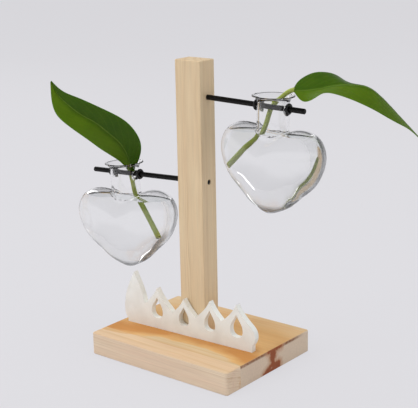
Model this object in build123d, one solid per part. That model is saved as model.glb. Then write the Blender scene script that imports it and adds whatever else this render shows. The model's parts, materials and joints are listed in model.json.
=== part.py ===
from build123d import *

import os
from dataclasses import dataclass
from math import cos, hypot, radians, sin

os.makedirs("parts", exist_ok=True)

# Propagation vase: two heart-shaped glass bottles hang on thin rods that stand out of a wooden post.
# Origin: centre of the base's underside. X runs along the base, Y to the back, Z up. Millimetres.

# Base, edge-glued from a narrow front stave and a wide rear board
base_length = 150.0
base_depth = 117.0
base_thickness = 19.6
stave_width = 17.8
base_corner_radius = 2.6
base_edge_ease = 0.6

# Post
post_width = 26.6
post_depth = 18.7
post_height = 238.2
post_edge_ease = 0.5

# Wood screw, up through the base into the post's end grain
screw_diameter = 4.0
screw_length = 46.0
screw_point_length = 6.0
screw_head_diameter = 8.0
screw_head_height = 2.6
screw_head_recess = 0.6
screw_drive_width = 1.0
screw_drive_span = 4.6
screw_drive_depth = 1.8
screw_clearance = 0.25
screw_bite_clearance = 0.03

# Rods
rod_diameter = 4.4
rod_end_chamfer = 0.4
rod_fit_clearance = 0.03
rod_tail_recess = 0.5

# The upper rod leaves the post below its top, the lower one above its foot. Reaches are from the post's middle
upper_rod_drop = 30.4
upper_rod_reach = 109.0
upper_droop = 1.6
lower_rod_rise = 134.9
lower_rod_reach = 120.2
lower_droop = 2.7

# Rubber rings
ring_section = 2.4
ring_grip_clearance = 0.03
ring_flat_count = 8

# Bottles. Heights are counted from the axis of the two holes in the neck.
body_width = 97.0
body_depth = 46.0
wall = 1.8
tip_wall = 3.2
shoulder_drop = 14.4
tip_drop = 85.7
neck_diameter = 26.0
neck_sink = 12.6
neck_root_radius = 2.5
lip_diameter = 34.4
lip_rise = 10.2
lip_start_rise = 4.0
lip_round = 0.75
neck_match = 0.01
hole_diameter = 6.2
hang_clearance = 0.12

# Where each bottle hangs, the turn of its body about its neck and the free way between it and its rings
upper_bottle_reach = 79.2
upper_body_turn = 0.0
upper_inner_gap = 1.6
upper_outer_gap = 0.4
lower_bottle_reach = 83.2
lower_body_turn = 15.5
lower_inner_gap = 4.0
lower_outer_gap = 0.5

# Outline of the heart, from the dip under the neck round to the tip: out from the middle as a share of
# half the width, and down from the shoulders as a share of the body's height
heart_outline_shares = [
    (0.0, 0.10), (0.27, 0.045), (0.62, 0.0), (0.88, 0.08), (1.0, 0.26), (0.95, 0.455),
    (0.80, 0.63), (0.58, 0.765), (0.34, 0.905), (0.14, 0.973), (0.0, 1.0),
]
heart_middle_share = 0.38
# Angles, in degrees from the middle plane, at which the body's cross-sections stand
heart_section_angles = (0.0, 20.0, 40.0, 58.0, 73.0, 83.0)

# Painted cut-out in front of the post: a row of joined upright leaves on a low strip
ornament_length = 139.0
ornament_thickness = 5.4
ornament_turn = 2.8
ornament_middle_x = -1.5
ornament_gap = 0.1
strip_height = 7.0
strip_length_share = 0.96
# Each leaf of the row: its place from the middle of the length, its width and its height, as shares of the
# length, and whether a slot is cut through it
row_leaf_shares = [
    (-0.420, 0.160, 0.345, False), (-0.238, 0.250, 0.268, True), (-0.028, 0.215, 0.238, True),
    (0.170, 0.235, 0.262, True), (0.368, 0.264, 0.280, True),
]
row_leaf_bulge_share = 0.42
row_leaf_tip_slope = 2.0
slot_width_share = 0.34
slot_height_share = 0.52
slot_rise_share = 0.26

# Cuttings. A stem's span is the bottle's drop below its two holes and the overhang above them
stem_diameter = 4.5
stem_top_diameter = 3.6
blade_thickness = 0.7
stem_overhang = 4.3
stem_station_count = 14
blade_span = 110.0
leaf_azimuth = 39.0

overrun = 1.0

stem_span = tip_drop + stem_overhang

rod_radius = rod_diameter / 2
hole_radius = hole_diameter / 2
hang_drop = hole_radius - rod_radius - hang_clearance
ring_inner_radius = rod_radius + ring_grip_clearance
ring_middle_radius = ring_inner_radius + ring_section / 2


@dataclass
class Arm:
    """One rod with its bottle: which way it points and where its pieces sit along it."""

    side: int
    rod_rise: float
    droop: float
    rod_reach: float
    bottle_reach: float
    inner_gap: float
    outer_gap: float
    body_turn: float

    def place(self, reach, drop=0.0):
        """Plane on the rod: local X outward along the rod, local Z up across it."""
        slope = radians(self.droop)
        outward = Vector(self.side * cos(slope), 0, -sin(slope))
        upward = Vector(self.side * sin(slope), 0, cos(slope))
        start = Vector(self.side * post_width / 2, 0, base_thickness + self.rod_rise)
        return Plane(start + outward * (reach - post_width / 2) - upward * drop, x_dir=outward, z_dir=upward)


upper_arm = Arm(
    1, post_height - upper_rod_drop, upper_droop, upper_rod_reach, upper_bottle_reach, upper_inner_gap,
    upper_outer_gap, upper_body_turn,
)
lower_arm = Arm(
    -1, lower_rod_rise, lower_droop, lower_rod_reach, lower_bottle_reach, lower_inner_gap, lower_outer_gap,
    lower_body_turn,
)

# Stems, as shares of the stem's span: out to +X, back to +Y and up from the rod's axis inside the neck
upper_stem_shares = [
    (-0.367, 0.000, -0.600), (-0.283, -0.012, -0.467), (-0.192, -0.028, -0.344), (-0.091, -0.034, -0.222),
    (-0.070, 0.012, -0.111), (-0.056, 0.057, -0.011), (0.042, 0.066, 0.080), (0.120, 0.080, 0.138),
    (0.160, 0.089, 0.153),
]
lower_stem_shares = [
    (0.350, 0.030, -0.600), (0.290, 0.042, -0.506), (0.222, 0.052, -0.406), (0.148, 0.058, -0.311),
    (0.082, 0.060, -0.228), (0.050, 0.060, -0.122), (0.028, 0.058, -0.022), (0.026, 0.058, 0.022),
    (0.029, 0.058, 0.050),
]

# Blades, as shares of the blade's span: the two edges and the midrib at each station, each with its reach
# along the leaf's azimuth, its rise and how far it stands to the front
upper_blade_shares = [
    ((0.000, 0.016, -0.012), (-0.012, 0.000, 0.000), (-0.002, -0.016, 0.012)),
    ((0.042, 0.048, -0.109), (0.054, -0.003, 0.009), (0.052, -0.066, 0.109)),
    ((0.118, 0.083, -0.164), (0.123, 0.001, 0.018), (0.124, -0.038, 0.164)),
    ((0.214, 0.096, -0.182), (0.214, 0.016, 0.027), (0.203, 0.004, 0.191)),
    ((0.315, 0.073, -0.182), (0.305, 0.033, 0.027), (0.319, -0.022, 0.200)),
    ((0.408, 0.014, -0.173), (0.403, 0.033, 0.027), (0.425, -0.066, 0.191)),
    ((0.515, -0.024, -0.164), (0.503, 0.019, 0.018), (0.534, -0.123, 0.164)),
    ((0.615, -0.095, -0.145), (0.605, -0.049, 0.000), (0.639, -0.189, 0.118)),
    ((0.713, -0.193, -0.109), (0.711, -0.158, -0.018), (0.742, -0.252, 0.064)),
    ((0.795, -0.279, -0.073), (0.802, -0.257, -0.036), (0.818, -0.302, 0.000)),
    ((0.919, -0.380, -0.078), (0.920, -0.387, -0.073), (0.919, -0.394, -0.068)),
]
lower_blade_shares = [
    ((0.030, 0.004, 0.000), (0.000, 0.000, 0.000), (-0.026, -0.006, 0.000)),
    ((0.086, 0.116, 0.027), (-0.028, 0.102, 0.009), (-0.096, 0.059, 0.027)),
    ((0.081, 0.243, 0.064), (-0.086, 0.210, 0.027), (-0.213, 0.153, 0.073)),
    ((0.009, 0.361, 0.082), (-0.170, 0.293, 0.045), (-0.311, 0.237, 0.100)),
    ((-0.099, 0.442, 0.082), (-0.265, 0.377, 0.055), (-0.409, 0.314, 0.109)),
    ((-0.245, 0.515, 0.073), (-0.378, 0.443, 0.045), (-0.503, 0.385, 0.091)),
    ((-0.395, 0.580, 0.045), (-0.480, 0.522, 0.027), (-0.574, 0.455, 0.055)),
    ((-0.515, 0.628, 0.009), (-0.560, 0.597, -0.009), (-0.609, 0.549, 0.009)),
    ((-0.611, 0.704, -0.050), (-0.616, 0.699, -0.055), (-0.620, 0.692, -0.050)),
]


def base_board():
    """The whole glued base, with eased corners and edges."""
    board = Box(base_length, base_depth, base_thickness, align=(Align.CENTER, Align.CENTER, Align.MIN))
    board = fillet(board.edges().filter_by(Axis.Z), base_corner_radius)
    rims = board.faces().filter_by(Axis.Z).edges()
    return chamfer(rims, base_edge_ease)


def screw_bore(clearance):
    """The space of the screw's head and shank, wider than the screw by a clearance."""
    shank_length = screw_length + screw_head_recess + clearance
    shank = Cylinder(screw_diameter / 2 + clearance, shank_length, align=(Align.CENTER, Align.CENTER, Align.MIN))
    head = Pos(0, 0, screw_head_recess) * Cone(
        screw_head_diameter / 2 + clearance, screw_diameter / 2 + clearance, screw_head_height,
        align=(Align.CENTER, Align.CENTER, Align.MIN),
    )
    mouth = Cylinder(
        screw_head_diameter / 2 + clearance, screw_head_recess, align=(Align.CENTER, Align.CENTER, Align.MIN)
    )
    return shank + head + mouth


def base_pieces():
    """The front stave and the rear board, split along their glue line."""
    board = base_board()
    joint_y = -base_depth / 2 + stave_width
    cutter = Pos(0, joint_y, -overrun) * Box(
        base_length + 2 * overrun, stave_width + overrun, base_thickness + 2 * overrun,
        align=(Align.CENTER, Align.MAX, Align.MIN),
    )
    return board & cutter, board - cutter - screw_bore(screw_clearance)


def post():
    """The upright bar, bored for both rods and for the screw."""
    bar = Pos(0, 0, base_thickness) * Box(
        post_width, post_depth, post_height, align=(Align.CENTER, Align.CENTER, Align.MIN)
    )
    uprights = bar.edges().filter_by(Axis.Z)
    bar = chamfer(uprights + bar.faces().sort_by(Axis.Z)[-1].edges(), post_edge_ease)
    for arm in (upper_arm, lower_arm):
        bore = arm.place(0) * Rot(0, 90, 0) * Cylinder(rod_radius + rod_fit_clearance, 2 * post_width)
        bar -= bore
    return bar - screw_bore(screw_bite_clearance)


def post_screw():
    """Countersunk screw with a cross recess in its head."""
    body_length = screw_length - screw_point_length
    shank = Cylinder(screw_diameter / 2, body_length, align=(Align.CENTER, Align.CENTER, Align.MIN))
    point = Pos(0, 0, body_length) * Cone(
        screw_diameter / 2, 0, screw_point_length, align=(Align.CENTER, Align.CENTER, Align.MIN)
    )
    head = Cone(
        screw_head_diameter / 2, screw_diameter / 2, screw_head_height,
        align=(Align.CENTER, Align.CENTER, Align.MIN),
    )
    screw = shank + point + head
    for turn in (0, 90):
        screw -= Rot(0, 0, turn) * Box(
            screw_drive_span, screw_drive_width, screw_drive_depth, align=(Align.CENTER, Align.CENTER, Align.MIN)
        )
    return Pos(0, 0, screw_head_recess) * screw


def rod(arm):
    """A rod from the far side of the post to its free end."""
    tail = -post_width / 2 + rod_tail_recess
    length = arm.rod_reach - tail
    bar = Cylinder(rod_radius, length, align=(Align.CENTER, Align.CENTER, Align.MIN))
    bar = chamfer(bar.edges(), rod_end_chamfer)
    return arm.place(tail) * Rot(0, 90, 0) * bar


def ring(arm, reach):
    """A rubber ring gripping the rod at a distance along it, its round section cut to flats."""
    section = Pos(ring_middle_radius, 0, 0) * Rot(90, 0, 0) * RegularPolygon(ring_section / 2, ring_flat_count)
    return arm.place(reach) * Rot(0, 90, 0) * revolve(section, axis=Axis.Z)


def ring_reaches(arm):
    """Where the inner and the outer ring sit, one each side of the neck."""
    edge = neck_diameter / 2 + ring_section / 2
    return arm.bottle_reach - edge - arm.inner_gap, arm.bottle_reach + edge + arm.outer_gap


def heart_outline(half_width, top, bottom, middle):
    """Heart outline in the XZ plane as a right and a left half, with its middle height on the origin."""
    height = top - bottom
    points = [(x * half_width, 0, top - z * height - middle) for x, z in heart_outline_shares]
    right = Spline(points, tangents=[(1, 0, 0), (-1, 0, 0)])
    left = mirror(right, about=Plane.YZ)
    return Wire(right.edges() + left.edges())


def heart_body(width, depth, top, bottom):
    """Rounded heart: the outline at the middle shrinks towards the front and the back."""
    middle = top - heart_middle_share * (top - bottom)
    outline = heart_outline(width / 2, top, bottom, middle)
    angles = [-angle for angle in reversed(heart_section_angles[1:])] + list(heart_section_angles)
    sections = [Vertex(0, -depth / 2, middle)]
    for angle in angles:
        place = Pos(0, depth / 2 * sin(radians(angle)), middle)
        sections.append(Face((place * scale(outline, by=cos(radians(angle)))).wire()))
    sections.append(Vertex(0, depth / 2, middle))
    return loft(sections)


def neck_side(inset, bottom):
    """Side of the neck as lines and an arc: straight, then flaring to the lip, moved in by an inset."""
    straight = neck_diameter / 2 - inset
    mouth = lip_diameter / 2 - inset
    Line((0, bottom), (straight, bottom))
    Line((straight, bottom), (straight, lip_start_rise))
    TangentArc((straight, lip_start_rise), (mouth, lip_rise - lip_round), tangent=(0, 1))
    return mouth


def neck_outside(bottom):
    """The neck with its flared lip as one filled piece, rounded over at the lip's outer edge."""
    with BuildSketch(Plane.XZ) as sketch:
        with BuildLine():
            mouth = neck_side(0, bottom)
            crown = (mouth - lip_round, lip_rise)
            RadiusArc((mouth, lip_rise - lip_round), crown, -lip_round)
            Polyline(crown, (0, lip_rise), (0, bottom))
        make_face()
    return revolve(sketch.sketch, axis=Axis.Z)


def neck_bore(bottom):
    """The space inside the neck, opening out round the lip's rounded inner edge."""
    with BuildSketch(Plane.XZ) as sketch:
        with BuildLine():
            mouth = neck_side(wall, bottom)
            crown = (mouth + lip_round, lip_rise)
            RadiusArc((mouth, lip_rise - lip_round), crown, lip_round)
            top = lip_rise + overrun
            Polyline(crown, (crown[0], top), (0, top), (0, bottom))
        make_face()
    return revolve(sketch.sketch, axis=Axis.Z)


def hugs_neck(edge):
    """Whether an edge lies all along the neck's outer surface."""
    places = [edge @ share for share in (0, 0.5, 1)]
    return all(abs(hypot(place.X, place.Y) - neck_diameter / 2) < neck_match for place in places)


def bottle(arm):
    """Hollow glass bottle hanging on the rod by two holes, which needn't face along the heart."""
    neck_bottom = -shoulder_drop - neck_sink
    glass = heart_body(body_width, body_depth, -shoulder_drop, -tip_drop) + neck_outside(neck_bottom)
    seam = glass.edges().filter_by(GeomType.BSPLINE).filter_by(hugs_neck)
    glass = fillet(seam, neck_root_radius)
    cavity = heart_body(body_width - 2 * wall, body_depth - 2 * wall, -shoulder_drop - wall, -tip_drop + tip_wall)
    glass -= cavity + neck_bore(neck_bottom - wall)
    glass = Rot(0, 0, arm.body_turn) * glass
    glass -= Rot(0, 90, 0) * Cylinder(hole_radius, lip_diameter)
    return arm.place(arm.bottle_reach, hang_drop) * glass


def ornament():
    """Painted cut-out: upright leaves of several heights, joined side by side on a strip."""
    with BuildSketch(Plane.XZ) as sketch:
        with Locations((0, strip_height / 2)):
            Rectangle(ornament_length * strip_length_share, strip_height)
        for middle, width, height, slotted in row_leaf_shares:
            x = middle * ornament_length
            add(pointed_leaf(x, 0, width * ornament_length, height * ornament_length))
        for middle, width, height, slotted in row_leaf_shares:
            if slotted:
                x = middle * ornament_length
                tall = height * ornament_length
                wide = width * ornament_length * slot_width_share
                slot = pointed_leaf(x, slot_rise_share * tall, wide, slot_height_share * tall)
                add(slot, mode=Mode.SUBTRACT)
    board = extrude(sketch.sketch, ornament_thickness)
    back_y = -post_depth / 2 - ornament_gap - post_width / 2 * sin(radians(ornament_turn))
    return Pos(ornament_middle_x, back_y, base_thickness) * Rot(0, 0, ornament_turn) * board


def pointed_leaf(x, bottom, width, height):
    """Flat outline of an upright leaf: two bowed sides that meet in a point at the top."""
    bulge = bottom + row_leaf_bulge_share * height
    with BuildSketch(Plane.XZ) as sketch:
        with BuildLine():
            for side in (1, -1):
                ends = [(side, 0), (-side, row_leaf_tip_slope)]
                Spline((x, bottom), (x + side * width / 2, bulge), (x, bottom + height), tangents=ends)
        make_face()
    return sketch.sketch


def stem_points(arm, shares):
    """Places of a stem's middle line in the part's frame."""
    root = arm.place(arm.bottle_reach).origin
    return [root + Vector(*share) * stem_span for share in shares]


def stem(arm, shares):
    """Tapering round stem through its middle points, as a run of short cones."""
    path = Spline(*stem_points(arm, shares))
    sections = []
    for index in range(stem_station_count + 1):
        share = index / stem_station_count
        radius = (stem_diameter + (stem_top_diameter - stem_diameter) * share) / 2
        ahead = path % share
        place = Plane(path @ share, x_dir=ahead.cross(Vector(0, 1, 0)), z_dir=ahead)
        sections.append(Face(Wire.make_circle(radius, place)))
    return loft(sections, ruled=True)


def blade(arm, stem_shares, shares):
    """Thin folded leaf blade through its edges and midrib, seated on the stem's end."""
    seat = stem_points(arm, stem_shares)[-1]
    sections = []
    for index, station in enumerate(shares):
        before = shares[max(index - 1, 0)][1]
        after = shares[min(index + 1, len(shares) - 1)][1]
        far, rib, near = [seat + blade_vector(share) for share in station]
        across = near - far
        normal = (blade_vector(after) - blade_vector(before)).cross(across).normalized()
        ahead = across.cross(normal).normalized()
        rib = rib - ahead * (rib - far).dot(ahead)
        top = [far, rib, near]
        below = [point - normal * blade_thickness for point in reversed(top)]
        sections.append(Face(Wire.make_polygon(top + below, close=True)))
    return loft(sections, ruled=True)


def blade_vector(share):
    """A place on the blade, from the stem's end, for its shares of reach, rise and stand to the front."""
    turn = radians(leaf_azimuth)
    reach, rise, front = (part * blade_span for part in share)
    return Vector(reach * cos(turn) + front * sin(turn), reach * sin(turn) - front * cos(turn), rise)


def build():
    """Every piece by its name."""
    stave, board = base_pieces()
    pieces = {
        "base_front_stave": stave, "base_rear_board": board, "post": post(), "post_screw": post_screw(),
        "ornament": ornament(),
    }
    stems = {"upper": upper_stem_shares, "lower": lower_stem_shares}
    blades = {"upper": upper_blade_shares, "lower": lower_blade_shares}
    for name, arm in (("upper", upper_arm), ("lower", lower_arm)):
        inner, outer = ring_reaches(arm)
        pieces[f"{name}_rod"] = rod(arm)
        pieces[f"{name}_inner_ring"] = ring(arm, inner)
        pieces[f"{name}_outer_ring"] = ring(arm, outer)
        pieces[f"{name}_bottle"] = bottle(arm)
        pieces[f"{name}_stem"] = stem(arm, stems[name])
        pieces[f"{name}_leaf"] = blade(arm, stems[name], blades[name])
    return pieces


if __name__ == "__main__":
    for piece_name, piece in build().items():
        export_step(piece, f"parts/{piece_name}.step")
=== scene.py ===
"""Dresses the propagation vase: planed softwood, clear blown glass, water, black rods and two leaf cuttings.

Every length is in metres unless its name ends in _mm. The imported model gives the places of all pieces.
"""

from __future__ import annotations

import json
import logging
import math
from collections.abc import Iterable
from dataclasses import dataclass, field
from enum import Enum

import bmesh
import bpy
import numpy as np
from bpy.types import Material, Node, NodeSocket, NodeTree, Object
from mathutils import Matrix, Vector

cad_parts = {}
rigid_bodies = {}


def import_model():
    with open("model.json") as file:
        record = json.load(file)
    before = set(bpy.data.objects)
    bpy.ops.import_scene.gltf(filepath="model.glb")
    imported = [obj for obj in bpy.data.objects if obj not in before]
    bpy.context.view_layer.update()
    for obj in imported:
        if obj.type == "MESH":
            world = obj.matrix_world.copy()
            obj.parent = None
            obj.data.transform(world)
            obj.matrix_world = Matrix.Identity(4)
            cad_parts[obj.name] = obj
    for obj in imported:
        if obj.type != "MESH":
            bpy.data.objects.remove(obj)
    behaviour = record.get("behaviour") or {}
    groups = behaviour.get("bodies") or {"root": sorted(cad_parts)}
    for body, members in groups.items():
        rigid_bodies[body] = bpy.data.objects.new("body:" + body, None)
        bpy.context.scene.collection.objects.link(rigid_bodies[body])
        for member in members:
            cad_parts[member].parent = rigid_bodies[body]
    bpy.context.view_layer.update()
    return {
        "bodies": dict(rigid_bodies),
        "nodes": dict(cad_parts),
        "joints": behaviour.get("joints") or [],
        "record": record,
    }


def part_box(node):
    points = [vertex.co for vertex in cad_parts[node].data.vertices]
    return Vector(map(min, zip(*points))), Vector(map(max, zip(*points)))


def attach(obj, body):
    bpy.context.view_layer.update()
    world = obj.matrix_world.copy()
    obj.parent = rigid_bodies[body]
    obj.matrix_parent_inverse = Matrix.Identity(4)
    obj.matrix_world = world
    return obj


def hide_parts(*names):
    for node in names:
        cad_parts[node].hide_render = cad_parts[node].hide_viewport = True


MM = 0.001
LOG = logging.getLogger("propagation_vase")
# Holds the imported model's record and nodes, once main has read them.
FRAME: dict = {}
# The faces of a mesh, each as its vertex numbers.
Faces = list[tuple[int, ...]]


def linear(hex_colour: str) -> tuple[float, float, float, float]:
    """Turns an sRGB hex colour into the linear colour that a shader takes.

    Args:
        hex_colour: Colour as #rrggbb.

    Returns:
        Linear red, green, blue and an alpha of 1.
    """
    parts = [int(hex_colour[place:place + 2], 16) / 255 for place in (1, 3, 5)]
    red, green, blue = (c / 12.92 if c <= 0.04045 else ((c + 0.055) / 1.055) ** 2.4 for c in parts)
    return red, green, blue, 1.0


def add_node(
    tree: NodeTree,
    kind: str,
    inputs: dict[str | int, object] | list[object] | None = None,
    stops: list[tuple[float, str]] | None = None,
    **settings: object,
) -> Node:
    """Adds one shader node with its settings and its links.

    Args:
        tree: Node tree of the material or world.
        kind: Node type without its ShaderNode prefix.
        inputs: What each input takes, by its name or number, or as a list in their order. It is a node,
            whose first working output is meant, one output of a node, or a plain value.
        stops: Places and hex colours of a colour ramp.
        settings: The node's own properties.

    Returns:
        The new node.
    """
    node = tree.nodes.new(f"ShaderNode{kind}")
    for name, value in settings.items():
        setattr(node, name, value)
    if stops:
        elements = node.color_ramp.elements
        while len(elements) < len(stops):
            elements.new(1.0)
        for element, (place, colour) in zip(elements, stops):
            element.position = place
            element.color = linear(colour)
    wanted = inputs if isinstance(inputs, dict) else dict(enumerate(inputs or []))
    for name, value in wanted.items():
        if isinstance(value, Node):
            value = next(output for output in value.outputs if output.enabled)
        if isinstance(value, NodeSocket):
            tree.links.new(value, node.inputs[name])
        else:
            node.inputs[name].default_value = value
    return node


def spline(
    knots: np.ndarray, values: np.ndarray, at: np.ndarray, ends: tuple[np.ndarray, np.ndarray] | None = None
) -> np.ndarray:
    """Runs a smooth cubic through points.

    Args:
        knots: Rising places of the points along the line.
        values: The points, one row each.
        at: Places to read.
        ends: Directions at the two ends, or none for relaxed ends.

    Returns:
        One row for each place read.
    """
    gap = np.diff(knots)
    rise = np.diff(values, axis=0) / gap[:, None]
    count = len(knots)
    system = np.zeros((count, count))
    right = np.zeros_like(values)
    for i in range(1, count - 1):
        system[i, i - 1:i + 2] = gap[i], 2 * (gap[i - 1] + gap[i]), gap[i - 1]
        right[i] = 3 * (gap[i] * rise[i - 1] + gap[i - 1] * rise[i])
    if ends is None:
        system[0, :2] = 2, 1
        system[-1, -2:] = 1, 2
        right[0], right[-1] = 3 * rise[0], 3 * rise[-1]
    else:
        system[0, 0] = system[-1, -1] = 1
        right[0], right[-1] = ends
    slope = np.linalg.solve(system, right)
    i = np.clip(np.searchsorted(knots, at, side="right") - 1, 0, count - 2)
    width = gap[i][:, None]
    t = ((at - knots[i]) / gap[i])[:, None]
    return (
        values[i] * (1 + 2 * t) * (1 - t) ** 2
        + values[i + 1] * t * t * (3 - 2 * t)
        + slope[i] * width * t * (1 - t) ** 2
        + slope[i + 1] * width * t * t * (t - 1)
    )


def chord_knots(points: np.ndarray) -> np.ndarray:
    """Gives each point its distance along the straight runs between the points."""
    return np.concatenate([[0.0], np.cumsum(np.linalg.norm(np.diff(points, axis=0), axis=1))])


def even_rows(line: np.ndarray, count: int, bias: np.ndarray) -> np.ndarray:
    """Spreads a fixed number of points along a line, closer together where it bends.

    Args:
        line: Dense points of the line.
        count: How many points to keep.
        bias: Extra weight of each dense step.

    Returns:
        The kept points.
    """
    step = np.linalg.norm(np.diff(line, axis=0), axis=1)
    weighed = np.concatenate([[0.0], np.cumsum(step + bias)])
    at = np.linspace(0.0, weighed[-1], count)
    return np.stack([np.interp(at, weighed, line[:, k]) for k in range(line.shape[1])], axis=1)


def circle(count: int) -> np.ndarray:
    """Gives evenly spaced turns round a full circle, in radians."""
    return np.arange(count) * 2 * math.pi / count


def mesh_object(name: str, points: Iterable[Iterable[float]], faces: Faces, smooth: bool = True) -> Object:
    """Makes a mesh object in the row frame.

    Args:
        name: Name of the piece.
        points: Its vertices.
        faces: Its faces, as vertex numbers.
        smooth: Whether the faces shade smoothly.

    Returns:
        The linked object.
    """
    mesh = bpy.data.meshes.new(name)
    mesh.from_pydata([tuple(p) for p in points], [], faces)
    mesh.validate()
    mesh.polygons.foreach_set("use_smooth", [smooth] * len(mesh.polygons))
    obj = bpy.data.objects.new(name, mesh)
    bpy.context.scene.collection.objects.link(obj)
    return obj


def tube_faces(rows: int, columns: int, closed: bool = False) -> Faces:
    """Joins rows of points that run round a ring into quads.

    Args:
        rows: How many rows there are.
        columns: How many points each row has.
        closed: Whether the last row also meets the first.

    Returns:
        The quads.
    """
    faces = []
    for row in range(rows if closed else rows - 1):
        here, above = row * columns, (row + 1) % rows * columns
        for column in range(columns):
            after = (column + 1) % columns
            faces.append((here + column, here + after, above + after, above + column))
    return faces


@dataclass(frozen=True)
class Finish:
    """A finish of one surface. Each kind says what the sockets of its shader take."""

    name: str

    def sockets(self, tree: NodeTree) -> dict[str, object]:
        """Gives what the surface shader's sockets take, by name."""
        raise NotImplementedError

    def shaders(self, tree: NodeTree) -> dict[str, Node]:
        """Gives the shaders of the surface and, where there is one, of the inside."""
        return {"Surface": add_node(tree, "BsdfPrincipled", self.sockets(tree))}

    def material(self) -> Material:
        """Builds the finish's material.

        Returns:
            The material.
        """
        material = bpy.data.materials.new(self.name)
        material.use_nodes = True
        material.node_tree.nodes.clear()
        add_node(material.node_tree, "OutputMaterial", self.shaders(material.node_tree))
        return material


class Grain(Enum):
    """The way a piece of wood was cut: 1 for each axis that lies across its fibres."""

    ALONG_X = (0.0, 1.0, 1.0)
    ALONG_Z = (1.0, 1.0, 0.0)


@dataclass(frozen=True)
class Figure:
    """The size of a pattern in wood: across the fibres, and how many times longer it is along them."""

    across_mm: float
    times_longer: float


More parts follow.
